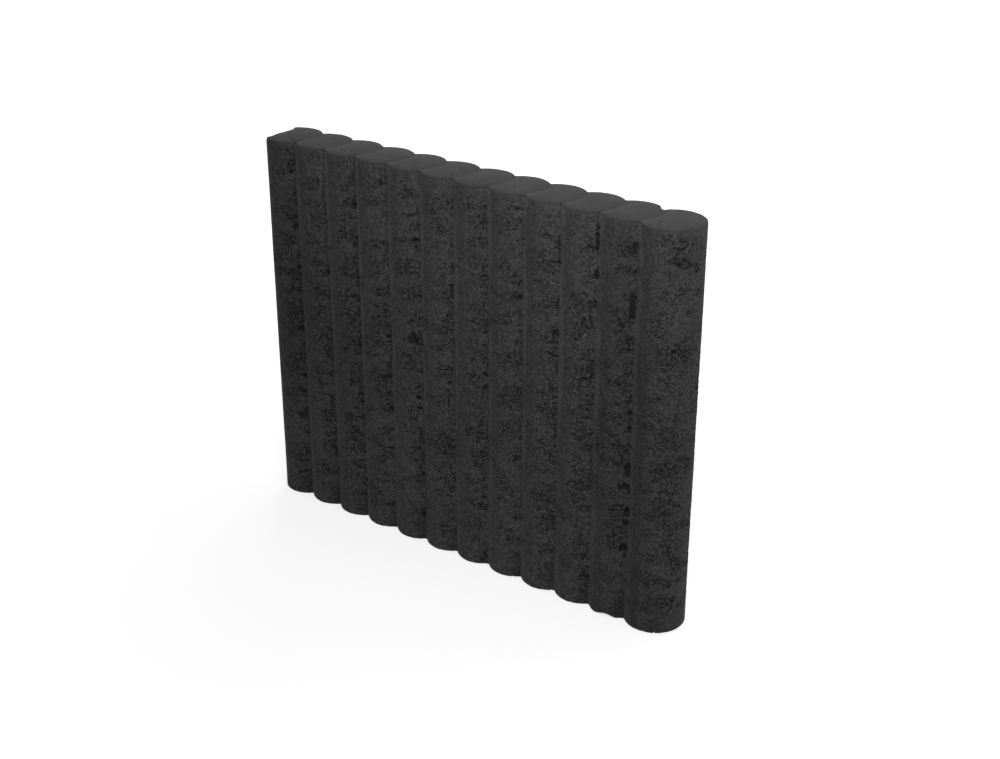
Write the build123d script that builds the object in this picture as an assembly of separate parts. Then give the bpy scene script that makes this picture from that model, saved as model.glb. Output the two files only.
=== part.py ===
from build123d import *

import math
import os

# A palisade kerb stone of pressed concrete: a row of round posts cast as one slab.
# It stands on its bed at Z = 0, with its length along X and its faces towards -Y and +Y.
# The +X end is a round nose. The -X end is a hollow between two horns, which takes the nose
# of the next stone. The origin is at the middle of the bed.

# Driving dimensions, in millimetres
LENGTH = 500.0  # from the horn tips to the end of the nose
HEIGHT = 400.0  # from the bed to the crown of a head
THICKNESS = 60.0  # across a post
POSTS = 12
POST_RADIUS = 27.0  # of the front and back of a post, a little tighter than the nose
VALLEY_ROUNDING = 2.0  # in the bottom of the valley between two posts
HORN_ROUNDING = 2.0  # on the two tips beside the hollow
JOINT_GAP = 0.5  # room between a nose and the hollow that takes it
CROWN = 2.5  # rise of a head above its rim
CREASE_ROUNDING = 10.0  # where two crowns meet over a valley
EDGE_BEVEL = 0.8  # round the heads and round the bed

# Worked out from them
NOSE_RADIUS = THICKNESS / 2
FLANK = NOSE_RADIUS - POST_RADIUS  # from the middle of the slab to the centre of a post's arc
PITCH = (LENGTH - NOSE_RADIUS) / (POSTS - 0.5)  # the horns end half a pitch before post one
NOSE_CENTRE = LENGTH / 2 - NOSE_RADIUS
POST_CENTRES = [NOSE_CENTRE - PITCH * step for step in reversed(range(POSTS))]
VALLEYS = [x - PITCH / 2 for x in POST_CENTRES[1:]]
HOLLOW_RADIUS = NOSE_RADIUS + JOINT_GAP
CROWN_RADIUS = (NOSE_RADIUS**2 + CROWN**2) / (2 * CROWN)
HEAD_ZONE = HEIGHT - 2 * CROWN  # every edge of the heads lies above this level
NEAR = 0.01  # how closely a corner or an edge is picked out by its place


def hollow_centre():
    """Where the hollow's axis stands, so that the rounded horn tips end the length exactly."""
    tip_x = -LENGTH / 2 + HORN_ROUNDING
    along = POST_CENTRES[0] - tip_x
    tip_y = FLANK + math.sqrt((POST_RADIUS - HORN_ROUNDING) ** 2 - along**2)
    return tip_x - math.sqrt((HOLLOW_RADIUS + HORN_ROUNDING) ** 2 - tip_y**2)


def outline():
    """The stone seen from above."""
    post = SlotCenterToCenter(2 * FLANK, 2 * POST_RADIUS, rotation=90)
    nose = Circle(NOSE_RADIUS) & Pos(NOSE_RADIUS / 2) * Rectangle(NOSE_RADIUS, THICKNESS)
    row = Pos(NOSE_CENTRE) * nose
    row += [Pos(x) * post for x in POST_CENTRES]
    for x in VALLEYS:
        corners = row.vertices().filter_by_position(Axis.X, x - NEAR, x + NEAR)
        row = fillet(corners, VALLEY_ROUNDING)
    row -= Pos(hollow_centre()) * Circle(HOLLOW_RADIUS)
    horns = row.vertices().sort_by(Axis.X)[:2]
    return fillet(horns, HORN_ROUNDING)


def above_heads():
    """What is taken off the top to leave a shallow crown on each post."""
    waste = Pos(Z=HEIGHT) * Box(LENGTH + 2 * PITCH, 2 * THICKNESS, 4 * CROWN)
    crown = Pos(Z=HEIGHT - CROWN_RADIUS) * Rot(X=90) * Sphere(CROWN_RADIUS)
    return waste - [Pos(x) * crown for x in POST_CENTRES]


def is_crease(edge):
    """Whether an edge runs straight across the slab over a valley, where two crowns meet."""
    across = [abs((edge @ share).X - edge.center().X) < NEAR for share in (0, 0.5, 1)]
    return edge.center().Z > HEAD_ZONE and all(across) and edge.length > NOSE_RADIUS


def is_rim(edge, stone):
    """Whether an edge of the heads has an upright wall on one side."""
    middle = edge @ 0.5
    if middle.Z < HEAD_ZONE:
        return False
    sides = [face for face in stone.faces() if face.distance_to(middle) < NEAR]
    return any(abs(face.normal_at(middle).Z) < NEAR for face in sides)


def kerb_stone():
    stone = extrude(outline(), HEIGHT) - above_heads()
    stone = fillet([edge for edge in stone.edges() if is_crease(edge)], CREASE_ROUNDING)
    stone = chamfer([edge for edge in stone.edges() if is_rim(edge, stone)], EDGE_BEVEL)
    bed = stone.faces().sort_by(Axis.Z)[0]
    return chamfer(bed.edges(), EDGE_BEVEL)


if __name__ == "__main__":
    os.makedirs("parts", exist_ok=True)
    export_step(kerb_stone(), "parts/kerb_stone.step")
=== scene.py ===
import math

import bmesh
import bpy
from mathutils import Matrix, Vector


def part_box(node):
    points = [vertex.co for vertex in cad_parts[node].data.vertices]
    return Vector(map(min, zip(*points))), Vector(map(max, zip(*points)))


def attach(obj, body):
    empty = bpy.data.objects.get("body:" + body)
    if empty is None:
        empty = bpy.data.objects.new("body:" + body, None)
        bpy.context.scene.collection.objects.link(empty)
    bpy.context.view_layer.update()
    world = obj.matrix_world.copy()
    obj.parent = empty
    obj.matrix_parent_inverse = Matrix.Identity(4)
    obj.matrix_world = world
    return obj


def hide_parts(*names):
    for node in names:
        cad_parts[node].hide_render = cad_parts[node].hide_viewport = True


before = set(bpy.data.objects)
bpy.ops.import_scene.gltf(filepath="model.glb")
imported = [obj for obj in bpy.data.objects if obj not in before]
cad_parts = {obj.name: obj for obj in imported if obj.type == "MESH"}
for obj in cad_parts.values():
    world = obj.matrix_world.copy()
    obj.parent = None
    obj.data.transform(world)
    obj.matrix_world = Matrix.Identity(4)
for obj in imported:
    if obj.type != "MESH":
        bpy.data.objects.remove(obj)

bl_info = {
    "name": "Palisade kerb stone",
    "version": (1, 0, 0),
    "blender": (4, 5, 0),
    "location": "3D View > Sidebar > Kerb stone",
    "description": "Gives a pressed concrete kerb stone its surface and stands it in a pale studio",
    "category": "Object",
}

NODE = "kerb_stone"
MM = 0.001

# The stone's own sizes in millimetres, from the frame. Its front faces -Y and its nose points to +X.
LOW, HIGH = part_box(NODE)
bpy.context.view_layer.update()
HEIGHT = (HIGH.z - LOW.z) / MM
NOSE_RADIUS = (HIGH.y - LOW.y) / 2 / MM
NOSE_CENTRE = HIGH.x / MM - NOSE_RADIUS
POSTS = 12
PITCH = ((HIGH.x - LOW.x) / MM - NOSE_RADIUS) / (POSTS - 0.5)

# Levels in millimetres between which the grain of the faces gives way to the calmer heads
FACE_END = 393.0
HEAD_START = 396.0

# Places on the front where the photograph shows the concrete most open: X, Z and reach
OPEN_PATCHES = (
    (192.0, 100.0, 30.0),
    (192.0, 205.0, 38.0),
    (-42.0, 240.0, 16.0),
    (155.0, 130.0, 26.0),
    (110.0, 95.0, 28.0),
    (70.0, 195.0, 24.0),
    (28.0, 130.0, 26.0),
    (-12.0, 120.0, 24.0),
    (-55.0, 105.0, 22.0),
    (-100.0, 190.0, 20.0),
    (-140.0, 110.0, 22.0),
    (-178.0, 190.0, 18.0),
)

# The largest holes torn beside the mould's ribs: X, Z, half width, half height and depth
HOLES = (
    (158.0, 372.0, 2.0, 14.0, 1.5),
    (158.0, 340.0, 3.0, 5.0, 1.8),
    (197.0, 371.0, 2.0, 9.0, 1.4),
    (197.0, 316.0, 2.4, 12.0, 2.0),
    (117.0, 361.0, 1.5, 10.0, 1.2),
    (117.0, 342.0, 4.0, 1.8, 1.6),
    (116.0, 273.0, 3.0, 3.0, 1.6),
    (75.0, 299.0, 2.5, 2.5, 1.4),
    (150.0, 296.0, 2.5, 2.5, 1.4),
    (151.0, 239.0, 6.0, 2.0, 1.5),
    (199.0, 160.0, 3.0, 9.0, 2.0),
    (196.0, 142.0, 6.0, 3.5, 2.2),
    (200.0, 116.0, 2.5, 6.0, 2.2),
    (198.0, 105.0, 3.5, 3.5, 2.0),
    (198.0, 78.0, 4.0, 5.0, 2.2),
    (186.0, 117.0, 7.0, 1.8, 1.5),
    (184.0, 88.0, 7.0, 1.8, 1.4),
    (152.0, 200.0, 4.5, 2.0, 1.6),
    (104.0, 90.0, 5.0, 1.8, 1.4),
    (199.0, 217.0, 3.5, 3.5, 1.5),
    (-54.0, 226.0, 6.0, 8.0, 2.4),
    (-62.0, 208.0, 6.0, 1.8, 1.4),
    (-9.0, 190.0, 3.0, 2.5, 1.6),
    (-50.0, 163.0, 3.0, 2.5, 1.6),
    (-90.0, 175.0, 4.0, 2.0, 1.4),
    (-90.0, 94.0, 6.0, 1.8, 1.5),
    (-54.0, 106.0, 7.0, 1.8, 1.4),
    (-12.0, 112.0, 7.0, 1.6, 1.3),
    (-134.0, 59.0, 4.0, 1.8, 1.5),
    (-134.0, 100.0, 4.0, 5.0, 1.4),
    (-214.0, 96.0, 5.0, 5.0, 1.6),
)
FRONT_OF_VALLEY = -24.0
HOLE_REACH = 15.0

# How far the pattern of the pores moves for each step of the seed
SEED_STEP = (17.0, 31.0, 11.0)

# Faces that meet more sharply than this are shaded with an edge between them
SHARP_FROM = math.radians(38.0)

# Sizes in millimetres of the grains, stones and blots that the surface shows
SAND = 1.8
DUST = 2.6
GRAIN = 2.7
CLOT = 3.6
PINHOLE = 5.0
TEAR = 5.0
PEBBLE = 7.5
ROW = 17.0

# Depths in millimetres of what is missing between and in place of them
CREVICE_DEPTH = 0.6
SOCKET_DEPTH = 1.1
PEBBLE_DEPTH = 2.0
ROW_DEPTH = 1.4
TEAR_DEPTH = 1.2
PINHOLE_DEPTH = 0.8

# How much paler, or darker below nought, each mark leaves the skin. The rubbed strips are smoother and
# partly a painted highlight; every other mark is painted light or painted shade.
# Smoother strips that are partly a painted highlight, and painted light beside the valleys
RUBBED_AND_HIGHLIGHT = 0.48
PAINTED_LIGHT_IN_VALLEY = 0.20
# Painted shade and painted light of the faces
PAINTED_SHADE_FOOT = -0.28
PAINTED_SHADE_LEFT_OF_AXIS = -0.10
PAINTED_SHADE_LEFT_END = -0.16
PAINTED_LIGHT_RIGHT_FLANK = 0.12
# Painted shade and painted highlight of the heads
PAINTED_SHADE_IN_DIP = -0.28
PAINTED_CUSP_HIGHLIGHT = 0.22
PAINTED_SHADE_UNDER_RIM = -0.08
PAINTED_SHADE_LAST_POSTS = -0.14

# Knocks that took a corner off: X, Y, Z, reach and depth
KNOCKS = (
    (-210.0, -23.0, 399.0, 8.0, 3.0),
    (-247.0, -20.0, 400.0, 10.0, 2.2),
    (183.0, -29.0, 1.0, 12.0, 3.0),
    (196.0, 24.0, 398.0, 7.0, 2.5),
)

# Soft boxes: name, place, aim and side in metres, and watts
LAMPS = (
    ("overhead right", (0.2, -0.3, 1.1), (0.1, -0.1, 0.2), 0.6, 0.91),
    ("overhead left", (-0.2, 0.1, 1.1), (-0.1, 0.0, 0.2), 0.6, 0.74),
    ("far left", (-1.9, -0.7, 0.5), (0.0, 0.0, 0.2), 1.0, 1.3),
    ("front right", (0.75, -0.75, 0.65), (0.2, 0.0, 0.25), 0.5, 0.55),
    ("close right", (0.48, -0.4, 0.8), (0.12, 0.0, 0.32), 0.4, 1.05),
    ("beside the nose", (1.5, -0.5, 0.5), (0.0, 0.0, 0.2), 1.0, 1.2),
    ("behind right", (0.66, 1.14, 1.12), (0.0, 0.0, 0.2), 1.0, 3.6),
    ("behind left", (-0.66, 1.14, 1.12), (0.0, 0.0, 0.2), 1.0, 3.6),
)


class Fields:
    """Writes fields of numbers, vectors and colours into the nodes of a shape or of a material."""

    def __init__(self, tree):
        self.tree = tree

    def node(self, kind, **settings):
        made = self.tree.nodes.new(kind)
        for name, value in settings.items():
            setattr(made, name, value)
        return made

    def put(self, socket, value):
        if isinstance(value, bpy.types.NodeSocket):
            self.tree.links.new(value, socket)
        else:
            socket.default_value = value

    def math(self, operation, *values):
        made = self.node("ShaderNodeMath", operation=operation)
        for socket, value in zip(made.inputs, values):
            self.put(socket, value)
        return made.outputs[0]

    def chain(self, operation, values):
        total = values[0]
        for value in values[1:]:
            total = self.math(operation, total, value)
        return total

    def add(self, *values):
        return self.chain("ADD", values)

    def times(self, *values):
        return self.chain("MULTIPLY", values)

    def most(self, *values):
        return self.chain("MAXIMUM", values)

    def less(self, value, other):
        return self.math("SUBTRACT", value, other)

    def vector(self, operation, *values):
        made = self.node("ShaderNodeVectorMath", operation=operation)
        sockets = (made.inputs[0], made.inputs[3 if operation == "SCALE" else 1])
        for socket, value in zip(sockets, values):
            self.put(socket, value)
        return made.outputs[1 if operation in ("DOT_PRODUCT", "LENGTH") else 0]

    def split(self, value):
        made = self.node("ShaderNodeSeparateXYZ")
        self.put(made.inputs[0], value)
        return made.outputs

    def join(self, x, y, z):
        made = self.node("ShaderNodeCombineXYZ")
        for socket, value in zip(made.inputs, (x, y, z)):
            self.put(socket, value)
        return made.outputs[0]

    def ramp(self, value, start, end, low=0.0, high=1.0):
        """Goes smoothly from low to high while the value goes from start to end."""
        made = self.node("ShaderNodeMapRange", interpolation_type="SMOOTHSTEP")
        names = ("Value", "From Min", "From Max", "To Min", "To Max")
        for name, number in zip(names, (value, start, end, low, high)):
            self.put(made.inputs[name], number)
        return made.outputs[0]

    def noise(self, where, size, detail=2.0, roughness=0.5, kind=0):
        """Cloudy noise with blots of a size: kind 0 gives numbers and kind 1 colours."""
        made = self.node("ShaderNodeTexNoise")
        self.put(made.inputs["Vector"], where)
        self.put(made.inputs["Scale"], 1.0 / size)
        self.put(made.inputs["Detail"], detail)
        self.put(made.inputs["Roughness"], roughness)
        return made.outputs[kind]

    def cells(self, where, size, feature="F1"):
        """Grains of a size, each with its own colour, and how far a place is from the nearest one."""
        made = self.node("ShaderNodeTexVoronoi", feature=feature)
        self.put(made.inputs["Vector"], where)
        self.put(made.inputs["Scale"], 1.0 / size)
        return made.outputs

    def mix(self, factor, first, second):
        made = self.node("ShaderNodeMix", data_type="RGBA")
        for socket, value in zip((made.inputs[0], made.inputs[6], made.inputs[7]), (factor, first, second)):
            self.put(socket, value)
        return made.outputs[2]

    def mix_number(self, factor, first, second):
        return self.add(first, self.times(factor, self.less(second, first)))

    def one_plus(self, *values):
        """A tone that is one, and so changes nothing, where any of the values is nought."""
        return self.add(1.0, self.times(*values))

    def shade(self, colour, tone):
        """A colour made darker or paler by a tone."""
        return self.vector("SCALE", colour, tone)


def stretched(f, where, across, up):
    """The place, drawn in so that a pattern on it comes out longer across or up the stone."""
    x, y, z = f.split(where)
    return f.join(f.math("DIVIDE", x, across), f.math("DIVIDE", y, across), f.math("DIVIDE", z, up))


def beside_axis(f, where):
    """How far right of its post's axis a place lies, from one valley to the next, in millimetres."""
    across = f.split(where)[0]
    from_nose = f.less(across, NOSE_CENTRE)
    turn = f.less(f.math("FRACT", f.add(f.math("DIVIDE", from_nose, PITCH), 0.5)), 0.5)
    on_row = f.times(turn, PITCH)
    past_nose = f.math("GREATER_THAN", across, NOSE_CENTRE)
    return f.add(f.times(on_row, f.less(1.0, past_nose)), f.times(from_nose, past_nose))


def near(f, where, x, z, reach):
    """One at a place on the front, fading to nothing at its reach."""
    across, deep, up = f.split(where)
    far = f.vector("LENGTH", f.join(f.less(across, x), 0.0, f.less(up, z)))
    return f.times(f.ramp(far, reach, reach * 0.4), f.math("LESS_THAN", deep, 0.0))


def loose_patches(f, where):
    """How much looser than the rest the concrete is in the patches of the front."""
    loosening = 0.07
    return f.add(*(f.times(near(f, where, x, z, reach), loosening) for x, z, reach in OPEN_PATCHES))


def openness(f, where, loose):
    """How open the pressed face is: closed on most of it, open in loose rows of patches."""
    beside = beside_axis(f, where)
    up = f.split(where)[2]
    rows = f.noise(stretched(f, where, 1.5, 0.75), ROW, detail=3.0, roughness=0.62)
    side = f.times(f.ramp(beside, -9.0, 12.0), f.ramp(beside, 34.0, 22.0))
    low_down = f.ramp(up, 390.0, 230.0)
    leaning = f.add(f.times(side, 0.085), f.times(low_down, 0.045))
    level = f.add(rows, leaning, loose)
    skirt = f.ramp(up, 8.0, 30.0, 0.35, 1.0)
    under_head = f.ramp(up, HEIGHT - 3.0, HEIGHT - 16.0, 0.15, 1.0)
    return f.times(f.ramp(level, 0.50, 0.74), skirt, under_head)


def torn_holes(f, where):
    """How deep the largest holes of the front are at a place, in millimetres."""
    ragged = f.times(f.less(f.noise(where, 3.2, detail=3.0, roughness=0.7), 0.5), 2.6)
    deepest = 0.0
    for x, z, wide, high, depth in HOLES:
        off = f.vector("SUBTRACT", where, (x, FRONT_OF_VALLEY, z))
        far = f.vector("LENGTH", f.vector("DIVIDE", off, (wide, HOLE_REACH, high)))
        deepest = f.most(deepest, f.ramp(f.add(far, ragged), 1.05, 0.45, 0.0, depth))
    return deepest


def pores(f, where, seed, loose, holes):
    """The pores at a place: how deep in millimetres, and how open the face is round them."""
    where_seeded = f.vector("ADD", where, f.vector("SCALE", SEED_STEP, seed))
    bend = f.vector("SCALE", f.vector("SUBTRACT", f.noise(where_seeded, 5.0, kind=1), (0.5, 0.5, 0.5)), 3.0)
    bent = stretched(f, f.vector("ADD", where_seeded, bend), 1.25, 0.9)
    open_here = openness(f, where, loose)
    beside = beside_axis(f, where)
    up = f.split(where)[2]

    seam = f.cells(bent, CLOT, feature="DISTANCE_TO_EDGE")["Distance"]
    crevice = f.times(f.ramp(seam, 0.15, 0.02), CREVICE_DEPTH, open_here)

    grain = f.cells(bent, GRAIN)
    lost = f.math("GREATER_THAN", f.split(grain["Color"])[0], 0.78)
    socket = f.times(lost, f.ramp(grain["Distance"], 0.60, 0.22), SOCKET_DEPTH, open_here)

    pebble = f.cells(bent, PEBBLE)
    fallen = f.math("GREATER_THAN", f.split(pebble["Color"])[1], 0.84)
    round_hole = f.ramp(pebble["Distance"], 0.50, 0.16)
    by_valley = f.ramp(beside, 4.0, 13.0)
    gap = f.times(fallen, round_hole, f.ramp(open_here, 0.30, 0.75), by_valley, PEBBLE_DEPTH)

    layers = f.noise(stretched(f, where_seeded, 1.7, 0.8), 9.0, detail=2.0)
    between_layers = f.ramp(f.math("ABSOLUTE", f.less(layers, 0.5)), 0.016, 0.004)
    right_of_axis = f.ramp(beside, -4.0, 10.0)
    row_gap = f.times(between_layers, f.ramp(open_here, 0.15, 0.55), right_of_axis, ROW_DEPTH)

    tear = f.noise(stretched(f, where_seeded, 0.8, 2.6), TEAR, detail=3.0, roughness=0.6)
    below_head = f.ramp(up, HEIGHT - 12.0, HEIGHT - 30.0)
    by_rib = f.times(f.ramp(beside, 11.5, 15.5), f.ramp(beside, 21.0, 19.0), below_head)
    torn = f.times(f.ramp(tear, 0.58, 0.69), by_rib, TEAR_DEPTH)

    pinhole = f.cells(where_seeded, PINHOLE)
    rare = f.ramp(up, HEIGHT - 6.0, HEIGHT - 3.0, 0.80, 0.96)
    pricked = f.math("GREATER_THAN", f.split(pinhole["Color"])[2], rare)
    prick = f.times(pricked, f.ramp(pinhole["Distance"], 0.26, 0.12), PINHOLE_DEPTH)
    return f.most(crevice, socket, gap, row_gap, torn, prick, holes), open_here


def head_dip(f, where):
    """How far each head runs on past the valley, under the edge of the head to its right."""
    beside = beside_axis(f, where)
    across, deep, up = f.split(where)
    past_valley = f.math("LESS_THAN", beside, 0.0)
    run = f.add(beside, f.times(past_valley, PITCH))
    on_top = f.times(f.ramp(up, HEIGHT - 6.0, HEIGHT - 4.0), f.math("LESS_THAN", across, NOSE_CENTRE))
    inside = f.ramp(f.vector("LENGTH", f.join(run, deep, 0.0)), 31.5, 29.0)
    fall = f.ramp(run, 13.0, 28.0)
    short_of_back = f.ramp(deep, 24.0, 14.0)
    return f.times(inside, on_top, fall, short_of_back)


def tree_input(tree, name, kind):
    return tree.interface.new_socket(name=name, in_out="INPUT", socket_type=kind).identifier


def keep(f, geometry, name, value, kind):
    """Stores a field on the mesh for the material to read."""
    store = f.node("GeometryNodeStoreNamedAttribute", data_type=kind, domain="POINT")
    f.put(store.inputs["Geometry"], geometry)
    f.put(store.inputs["Name"], name)
    f.put(store.inputs["Value"], value)
    return store.outputs["Geometry"]


def surface_tree():
    """The nodes that press pores, knocks and wear into a smooth blank, always inwards."""
    tree = bpy.data.node_groups.new("Pressed concrete surface", "GeometryNodeTree")
    kinds = {
        "Geometry": "NodeSocketGeometry",
        "Pore depth": "NodeSocketFloat",
        "Waviness": "NodeSocketFloat",
        "Edge wear": "NodeSocketFloat",
        "Head dip": "NodeSocketFloat",
        "Seed": "NodeSocketFloat",
        "Material": "NodeSocketMaterial",
    }
    names = {name: tree_input(tree, name, kind) for name, kind in kinds.items()}
    tree.interface.new_socket(name="Geometry", in_out="OUTPUT", socket_type="NodeSocketGeometry")
    f = Fields(tree)
    given = f.node("NodeGroupInput").outputs
    position = f.node("GeometryNodeInputPosition").outputs[0]
    normal = f.node("GeometryNodeInputNormal").outputs[0]
    where = f.vector("SCALE", position, 1.0 / MM)

    soft = f.node("GeometryNodeBlurAttribute", data_type="FLOAT_VECTOR")
    f.put(soft.inputs["Value"], where)
    f.put(soft.inputs["Iterations"], 10)
    to_soft = f.vector("SUBTRACT", soft.outputs[0], where)
    sharp = f.math("MULTIPLY", f.vector("DOT_PRODUCT", to_soft, normal), -1.0)
    arris = f.ramp(sharp, 0.35, 0.9)

    loose = loose_patches(f, where)
    holes = torn_holes(f, where)
    kept = keep(f, given["Geometry"], "rest", position, "FLOAT_VECTOR")
    for name, value in (("arris", arris), ("loose", loose), ("holes", holes)):
        kept = keep(f, kept, name, value, "FLOAT")

    depth, _ = pores(f, where, given["Seed"], loose, holes)
    off_ground = f.ramp(f.split(where)[2], 1.0, 14.0, 0.3, 1.0)
    crumbs = f.ramp(f.noise(where, 6.0, detail=3.0), 0.50, 0.68)
    crumbled = f.times(crumbs, arris, off_ground, given["Edge wear"])
    wave = f.times(f.noise(where, 34.0, detail=2.0), off_ground, given["Waviness"])
    knocked = 0.0
    for x, y, z, reach, blow in KNOCKS:
        off = f.vector("LENGTH", f.vector("SUBTRACT", where, (x, y, z)))
        ragged = f.add(off, f.times(f.less(f.noise(where, 4.0), 0.5), 4.0))
        knocked = f.add(knocked, f.ramp(ragged, reach, 0.0, 0.0, blow))
    dip = f.times(head_dip(f, where), given["Head dip"])
    inward = f.add(f.times(depth, given["Pore depth"]), crumbled, wave, knocked, dip)
    offset = f.vector("SCALE", normal, f.times(inward, -MM))

    moved = f.node("GeometryNodeSetPosition")
    f.put(moved.inputs["Geometry"], kept)
    f.put(moved.inputs["Position"], inside_box(f, f.vector("ADD", position, offset)))
    real = f.node("GeometryNodeRealizeInstances")
    f.put(real.inputs["Geometry"], moved.outputs["Geometry"])
    dressed = f.node("GeometryNodeSetMaterial")
    f.put(dressed.inputs["Geometry"], real.outputs["Geometry"])
    f.put(dressed.inputs["Material"], given["Material"])
    f.put(f.node("NodeGroupOutput").inputs["Geometry"], dressed.outputs["Geometry"])
    return tree, names


def inside_box(f, position):
    """The position, or the nearest one in the stone's own box."""
    return f.vector("MINIMUM", f.vector("MAXIMUM", position, tuple(LOW)), tuple(HIGH))


def with_modifiers_applied(piece):
    graph = bpy.context.evaluated_depsgraph_get()
    mesh = bpy.data.meshes.new_from_object(piece.evaluated_get(graph), depsgraph=graph)
    mesh.name = piece.name
    piece.modifiers.clear()
    piece.data = mesh
    return piece


def link(piece):
    bpy.context.scene.collection.objects.link(piece)
    bpy.context.view_layer.update()
    return piece


def blank_stone(name, grid):
    """A close even mesh of the stone's plain solid, for the surface to be pressed into."""
    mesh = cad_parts[NODE].data.copy()
    solid = bmesh.new()
    solid.from_mesh(mesh)
    bmesh.ops.remove_doubles(solid, verts=solid.verts, dist=0.001 * MM)
    solid.to_mesh(mesh)
    solid.free()
    mesh.materials.clear()
    piece = link(bpy.data.objects.new(name, mesh))
    remesh = piece.modifiers.new("even mesh", "REMESH")
    remesh.mode = "VOXEL"
    remesh.voxel_size = grid
    return with_modifiers_applied(piece)


def drop_folded_faces(piece):
    """Takes out what thinning the mesh left lying back to back: corners where only two edges meet."""
    solid = bmesh.new()
    solid.from_mesh(piece.data)
    folds = [corner for corner in solid.verts if len(corner.link_edges) == 2]
    bmesh.ops.dissolve_verts(solid, verts=folds)
    solid.to_mesh(piece.data)
    solid.free()


def set_back_into_box(piece):
    """Sets back the few corners that thinning the mesh pushed out of the stone's box."""
    for vertex in piece.data.vertices:
        vertex.co = [min(max(value, low), high) for value, low, high in zip(vertex.co, LOW, HIGH)]


def kept_field(f, name, output="Fac"):
    """A field that the shape's nodes stored on the mesh."""
    return f.node("ShaderNodeAttribute", attribute_name=name).outputs[output]


def rubbed_and_lit_strips(f, where, beside, flank, on_face):
    """Where the mould's ribs rubbed smooth beside the valleys on the left-facing flanks, and the paler tone
    there: partly a painted highlight, with painted light beside the valley itself.
    """
    up = f.split(where)[2]
    in_runs = f.ramp(f.noise(stretched(f, where, 1.0, 3.0), 15.0, detail=2.0), 0.36, 0.56)
    more_above = f.ramp(up, 60.0, 330.0, 0.4, 1.0)
    strip = f.times(f.ramp(flank, -9.5, -13.0), f.ramp(beside, -7.5, -12.0))
    rub_and_lit_strip = f.times(strip, in_runs, more_above, on_face)
    # Painted light on the left flank beside each valley
    in_valley = f.times(f.ramp(beside, -14.0, -19.0), more_above, on_face, PAINTED_LIGHT_IN_VALLEY)
    return rub_and_lit_strip, f.add(1.0, f.times(rub_and_lit_strip, RUBBED_AND_HIGHLIGHT), in_valley)


def painted_light_tone(f, where, beside, flank, on_face):
    """Painted shade and painted light on the faces: painted shade at the foot corners by the valleys, left
    of the posts' axes on the lower right, at the left end and on the last posts; painted light on the right
    flanks, towards the top, a little near the foot and along the stone to the right.
    """
    x, _, up = f.split(where)
    # Painted shade in the corner at the foot of each valley
    foot_corner = f.times(f.ramp(flank, 8.0, 17.0), f.ramp(beside, 24.0, 20.0), f.ramp(up, 45.0, 6.0))
    low_right = f.one_plus(f.ramp(x, 120.0, 200.0), f.ramp(up, 320.0, 180.0))
    # Painted shade left of the posts' axes on the lower right of the stone
    left_of_axis = f.times(f.ramp(beside, -14.0, -10.0), f.ramp(beside, 3.0, -4.0), on_face)
    # Painted shade at the left end, where the light falls off
    left_end = f.times(f.ramp(x, -185.0, -225.0), f.ramp(up, 80.0, 130.0), on_face)
    short_of_nose = f.ramp(x, 212.0, 206.0)
    # Painted light on the right flanks above the foot
    right_flank = f.times(f.ramp(beside, 11.0, 19.0), short_of_nose, f.ramp(up, 20.0, 50.0), on_face)
    # Painted light towards the top, and a little near the foot
    by_height = f.add(f.ramp(up, 210.0, 380.0, 1.0, 1.14), f.ramp(up, 150.0, 90.0, 0.0, 0.10))
    last_posts = f.times(f.ramp(x, 130.0, 206.0), f.ramp(x, 222.0, 232.0, 1.5, 1.0))
    # Painted light growing towards the right, and painted shade on the last posts
    by_length = f.add(f.ramp(x, -210.0, -20.0, -0.03, 0.15), f.times(last_posts, PAINTED_SHADE_LAST_POSTS))
    return f.times(
        f.one_plus(foot_corner, PAINTED_SHADE_FOOT),
        f.one_plus(left_of_axis, low_right, PAINTED_SHADE_LEFT_OF_AXIS),
        f.one_plus(left_end, PAINTED_SHADE_LEFT_END),
        f.one_plus(right_flank, PAINTED_LIGHT_RIGHT_FLANK),
        f.mix_number(on_face, 1.0, by_height),
        f.one_plus(by_length, on_face),
    )


def painted_head_shading(f, where, beside):
    """Painted shade where the heads dip and in a band under the rim, and a painted highlight at their front
    cusps.
    """
    _, deep, up = f.split(where)
    # Painted highlight just right of each head's front cusp
    off_cusp = f.vector("LENGTH", f.join(f.times(f.add(beside, 15.5), 0.6), f.add(deep, 20.5), 0.0))
    cusp = f.times(f.ramp(off_cusp, 4.5, 1.5), f.ramp(up, HEIGHT - 4.0, HEIGHT - 2.0))
    # Painted shade in a thin band just under the rim
    under_rim = f.times(f.ramp(up, 393.5, 395.5), f.ramp(up, 398.5, 397.0))
    return f.times(
        f.one_plus(head_dip(f, where), PAINTED_SHADE_IN_DIP),
        f.one_plus(cusp, PAINTED_CUSP_HIGHLIGHT),
        f.one_plus(under_rim, PAINTED_SHADE_UNDER_RIM),
    )


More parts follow.
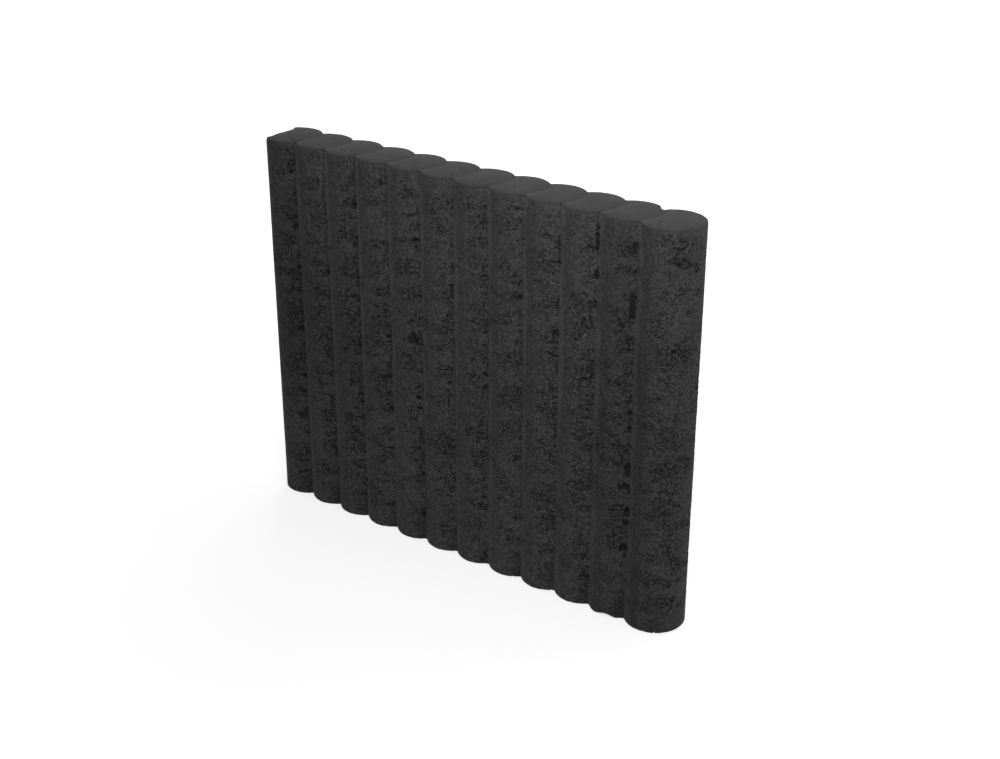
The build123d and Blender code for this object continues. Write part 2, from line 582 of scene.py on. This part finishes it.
def concrete_material(settings):
    """Dyed concrete: a dark matt skin with painted shade in its pores, smoother paler strips where the
    mould's ribs rubbed that are partly a painted highlight, and painted light and shade on the faces and
    heads.
    """
    material = bpy.data.materials.new("anthracite concrete")
    material.use_nodes = True
    tree = material.node_tree
    tree.nodes.clear()
    f = Fields(tree)
    where = f.vector("SCALE", kept_field(f, "rest", "Vector"), 1.0 / MM)
    up = f.split(where)[2]
    beside = beside_axis(f, where)
    depth, open_here = pores(f, where, settings.seed, kept_field(f, "loose"), kept_field(f, "holes"))
    on_face = f.ramp(up, HEIGHT - 2.0, HEIGHT - 6.0)

    mottle = f.ramp(f.noise(where, 40.0, detail=4.0), 0.3, 0.7, 0.93, 1.07)
    drag = f.noise(stretched(f, where, 1.0, 22.0), DUST, detail=2.0)
    streak = f.ramp(drag, 0.3, 0.7, 0.96, 1.05)
    right_side = f.ramp(beside, -8.0, 8.0)
    coarser = f.add(0.72, f.times(right_side, 0.20), f.times(open_here, 0.75))
    grit = f.times(coarser, f.ramp(up, HEAD_START, FACE_END, 0.2, 1.0))
    grains = f.cells(where, SAND)
    speckle = f.less(f.split(grains["Color"])[0], 0.5)
    dust = f.less(f.noise(where, DUST, detail=3.0, roughness=0.8), 0.5)
    speck = f.one_plus(f.add(f.times(speckle, 0.75), dust), grit)

    meander = f.less(f.noise(stretched(f, where, 1.0, 2.0), 7.0, detail=3.0), 0.5)
    flank = f.add(beside, f.times(meander, 20.0))
    rub_and_lit_strip, rubbed_and_lit_tone = rubbed_and_lit_strips(f, where, beside, flank, on_face)
    # Painted light and painted shade on the faces
    painted_light = painted_light_tone(f, where, beside, flank, on_face)
    tone = f.times(mottle, streak, speck, rubbed_and_lit_tone, painted_light, painted_head_shading(f, where, beside))

    skin = f.shade((*settings.skin,), tone)
    dyed_share = f.ramp(open_here, 0.0, 1.0, 0.96, 0.80)
    undyed = f.math("GREATER_THAN", f.split(grains["Color"])[1], dyed_share)
    fewer_on_heads = f.ramp(up, HEAD_START, FACE_END, 0.15, 0.75)
    pale = f.times(undyed, f.ramp(grains["Distance"], 0.55, 0.25), fewer_on_heads)
    worn = f.times(kept_field(f, "arris"), 0.20)
    grained = f.mix(f.most(pale, worn), skin, (*settings.grain, 1.0))
    # Painted shade in the pores and holes, darker the deeper they go
    shadowed = f.times(f.ramp(depth, 0.0, 1.3), 0.72)
    pore_shaded = f.mix(shadowed, grained, (*settings.pore_shade, 1.0))

    domes = f.less(1.0, f.math("POWER", grains["Distance"], 2.0))
    rough = f.add(0.45, f.times(open_here, 0.5))
    smoothed = f.less(1.0, f.times(rub_and_lit_strip, 0.8))
    fine = f.times(f.add(f.times(domes, rough), f.times(dust, 0.8)), smoothed, grit)
    height = f.add(fine, f.times(depth, -0.35), f.times(drag, 0.12), f.times(pale, 0.15))
    bump = f.node("ShaderNodeBump")
    f.put(bump.inputs["Strength"], 1.0)
    f.put(bump.inputs["Distance"], MM)
    f.put(bump.inputs["Height"], height)

    surface = f.node("ShaderNodeBsdfPrincipled")
    f.put(surface.inputs["Base Color"], pore_shaded)
    f.put(surface.inputs["Roughness"], 0.85)
    f.put(surface.inputs["Specular IOR Level"], 0.1)
    f.put(surface.inputs["Normal"], bump.outputs[0])
    f.put(f.node("ShaderNodeOutputMaterial").inputs["Surface"], surface.outputs[0])
    return material


def colour(name, description, value):
    return bpy.props.FloatVectorProperty(
        name=name, description=description, subtype="COLOR", size=3, min=0.0, max=1.0, default=value
    )


def amount(name, description, value, **more):
    return bpy.props.FloatProperty(name=name, description=description, default=value, **more)


class KerbStoneSettings(bpy.types.PropertyGroup):
    grid: amount("Mesh", "Spacing of the mesh that the surface is pressed into", 1.0 * MM, unit="LENGTH")
    triangles: bpy.props.IntProperty(
        name="Triangles", description="Most triangles in the finished stone", default=190000
    )
    pore_depth: amount("Pore depth", "How deep the pores go, against those of the photograph", 1.0, min=0.0)
    waviness: amount("Waviness", "Depth of the slow waves of the faces, in millimetres", 0.5, min=0.0)
    edge_wear: amount("Edge wear", "How far the edges crumbled, in millimetres", 1.2, min=0.0)
    head_dip: amount("Head dip", "Dip of a head under the edge of the next, in millimetres", 0.9, min=0.0)
    seed: amount("Seed", "Changes where the pores lie", 1.0)
    skin: colour("Skin", "Colour of the dyed skin", (0.080, 0.080, 0.081))
    grain: colour("Grain", "Colour of the pale grains and worn edges", (0.15, 0.15, 0.148))
    # Colour of the painted shade inside the pores
    pore_shade: colour("Pore", "Colour inside the pores", (0.016, 0.016, 0.016))


class StudioSettings(bpy.types.PropertyGroup):
    azimuth: amount("Azimuth", "Camera's turn from the front", math.radians(37.62), subtype="ANGLE")
    elevation: amount("Elevation", "Camera's height angle", math.radians(24.08), subtype="ANGLE")
    roll: amount("Roll", "Camera's turn about its own line of sight", math.radians(0.11), subtype="ANGLE")
    distance: amount("Distance", "From the camera to the stone's middle", 1.49338, unit="LENGTH")
    aside: amount("Aside", "Camera's step to its right", 0.02713, unit="LENGTH")
    below: amount("Below", "Camera's step down", 0.01113, unit="LENGTH")
    lens: amount("Lens", "Focal length in millimetres for a frame 36 mm wide", 54.65)
    sky: amount("Sky", "Strength of the even light from all round", 0.16)


class KERB_OT_stone(bpy.types.Operator):
    """Presses the pores, knocks and worn edges into the stone"""

    bl_idname = "kerb.stone"
    bl_label = "Kerb stone"

    def execute(self, context):
        settings = context.scene.kerb_stone
        piece = blank_stone("pressed_stone", settings.grid)
        tree, names = surface_tree()
        press = piece.modifiers.new("pressed surface", "NODES")
        press.node_group = tree
        press[names["Pore depth"]] = settings.pore_depth
        press[names["Waviness"]] = settings.waviness
        press[names["Edge wear"]] = settings.edge_wear
        press[names["Head dip"]] = settings.head_dip
        press[names["Seed"]] = settings.seed
        press[names["Material"]] = concrete_material(settings)
        with_modifiers_applied(piece)
        triangles = sum(len(face.vertices) - 2 for face in piece.data.polygons)
        fewer = piece.modifiers.new("fewer faces", "DECIMATE")
        fewer.ratio = min(1.0, settings.triangles / triangles)
        with_modifiers_applied(piece)
        drop_folded_faces(piece)
        set_back_into_box(piece)
        piece.data.shade_smooth()
        piece.data.set_sharp_from_angle(angle=SHARP_FROM)
        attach(piece, "root")
        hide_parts(NODE)
        return {"FINISHED"}


class KERB_OT_studio(bpy.types.Operator):
    """Sets up the pale floor, the soft light and the camera"""

    bl_idname = "kerb.studio"
    bl_label = "Studio"

    def execute(self, context):
        settings = context.scene.kerb_studio
        pale_floor()
        pale_surroundings(settings.sky)
        for name, place, aim, side, watts in LAMPS:
            soft_box(name, place, aim, side, watts)
        camera(settings)
        context.scene.view_settings.view_transform = "Standard"
        return {"FINISHED"}


def soft_box(name, place, aim, side, watts):
    lamp = bpy.data.lights.new(name, "AREA")
    lamp.shape = "RECTANGLE"
    lamp.size = lamp.size_y = side
    lamp.energy = watts
    piece = link(bpy.data.objects.new(name, lamp))
    piece.location = place
    piece.rotation_euler = (Vector(aim) - piece.location).to_track_quat("-Z", "Y").to_euler()


def in_sight(f):
    """One for the rays that show a thing to the camera, straight on or in a reflection."""
    path = f.node("ShaderNodeLightPath").outputs
    return f.most(path["Is Camera Ray"], path["Is Glossy Ray"], path["Is Transmission Ray"])


def pale_floor():
    """White paper to the camera, and a quiet grey to the light that bounces off it."""
    reach = 8.0
    mesh = bpy.data.meshes.new("floor")
    corners = [(-reach, -reach, 0), (reach, -reach, 0), (reach, reach, 0), (-reach, reach, 0)]
    mesh.from_pydata(corners, [], [(0, 1, 2, 3)])
    piece = link(bpy.data.objects.new("floor", mesh))
    material = bpy.data.materials.new("white paper")
    material.use_nodes = True
    material.node_tree.nodes.clear()
    f = Fields(material.node_tree)
    seen = in_sight(f)
    where = f.node("ShaderNodeTexCoord").outputs["Object"]
    away = f.ramp(f.vector("LENGTH", where), 0.3, 1.1, 0.68, 1.0)
    paper = f.node("ShaderNodeBsdfDiffuse")
    f.put(paper.inputs["Color"], (0.8, 0.8, 0.8, 1.0))
    glow = f.node("ShaderNodeEmission")
    f.put(glow.inputs["Strength"], away)
    lit = f.node("ShaderNodeAddShader")
    f.put(lit.inputs[0], paper.outputs[0])
    f.put(lit.inputs[1], glow.outputs[0])
    quiet = f.node("ShaderNodeBsdfDiffuse")
    f.put(quiet.inputs["Color"], (0.5, 0.5, 0.5, 1.0))
    choice = f.node("ShaderNodeMixShader")
    for socket, value in zip(choice.inputs, (seen, quiet.outputs[0], lit.outputs[0])):
        f.put(socket, value)
    f.put(f.node("ShaderNodeOutputMaterial").inputs["Surface"], choice.outputs[0])
    mesh.materials.append(material)


def pale_surroundings(strength):
    world = bpy.data.worlds.new("studio")
    bpy.context.scene.world = world
    world.use_nodes = True
    world.node_tree.nodes.clear()
    f = Fields(world.node_tree)
    seen = in_sight(f)
    light = f.node("ShaderNodeBackground")
    f.put(light.inputs["Color"], (1.0, 1.0, 1.0, 1.0))
    f.put(light.inputs["Strength"], f.add(strength, f.times(seen, 1.0 - strength)))
    f.put(f.node("ShaderNodeOutputWorld").inputs["Surface"], light.outputs[0])


def camera(settings):
    lens = bpy.data.cameras.new("camera")
    lens.lens = settings.lens
    lens.sensor_width = 36.0
    piece = link(bpy.data.objects.new("camera", lens))
    turn, rise, roll = settings.azimuth, settings.elevation, settings.roll
    back = Vector((math.sin(turn) * math.cos(rise), -math.cos(turn) * math.cos(rise), math.sin(rise)))
    right = Vector((math.cos(turn), math.sin(turn), 0.0))
    up = back.cross(right)
    right, up = right * math.cos(roll) + up * math.sin(roll), up * math.cos(roll) - right * math.sin(roll)
    middle = Vector((0.0, 0.0, HEIGHT * MM / 2))
    place = middle + right * settings.aside - up * settings.below + back * settings.distance
    piece.matrix_world = Matrix.Translation(place) @ Matrix((right, up, back)).transposed().to_4x4()
    bpy.context.scene.camera = piece


class KERB_PT_panel(bpy.types.Panel):
    """Lists the stone and its studio in the sidebar"""

    bl_label = "Kerb stone"
    bl_space_type = "VIEW_3D"
    bl_region_type = "UI"
    bl_category = "Kerb stone"

    def draw(self, context):
        for kind in (KERB_OT_stone, KERB_OT_studio):
            self.layout.operator(kind.bl_idname)


CLASSES = (KerbStoneSettings, StudioSettings, KERB_OT_stone, KERB_OT_studio, KERB_PT_panel)


def register():
    for kind in CLASSES:
        bpy.utils.register_class(kind)
    bpy.types.Scene.kerb_stone = bpy.props.PointerProperty(type=KerbStoneSettings)
    bpy.types.Scene.kerb_studio = bpy.props.PointerProperty(type=StudioSettings)


def unregister():
    del bpy.types.Scene.kerb_studio
    del bpy.types.Scene.kerb_stone
    for kind in reversed(CLASSES):
        bpy.utils.unregister_class(kind)


def main():
    register()
    bpy.ops.kerb.stone()
    bpy.ops.kerb.studio()


if __name__ == "__main__":
    main()
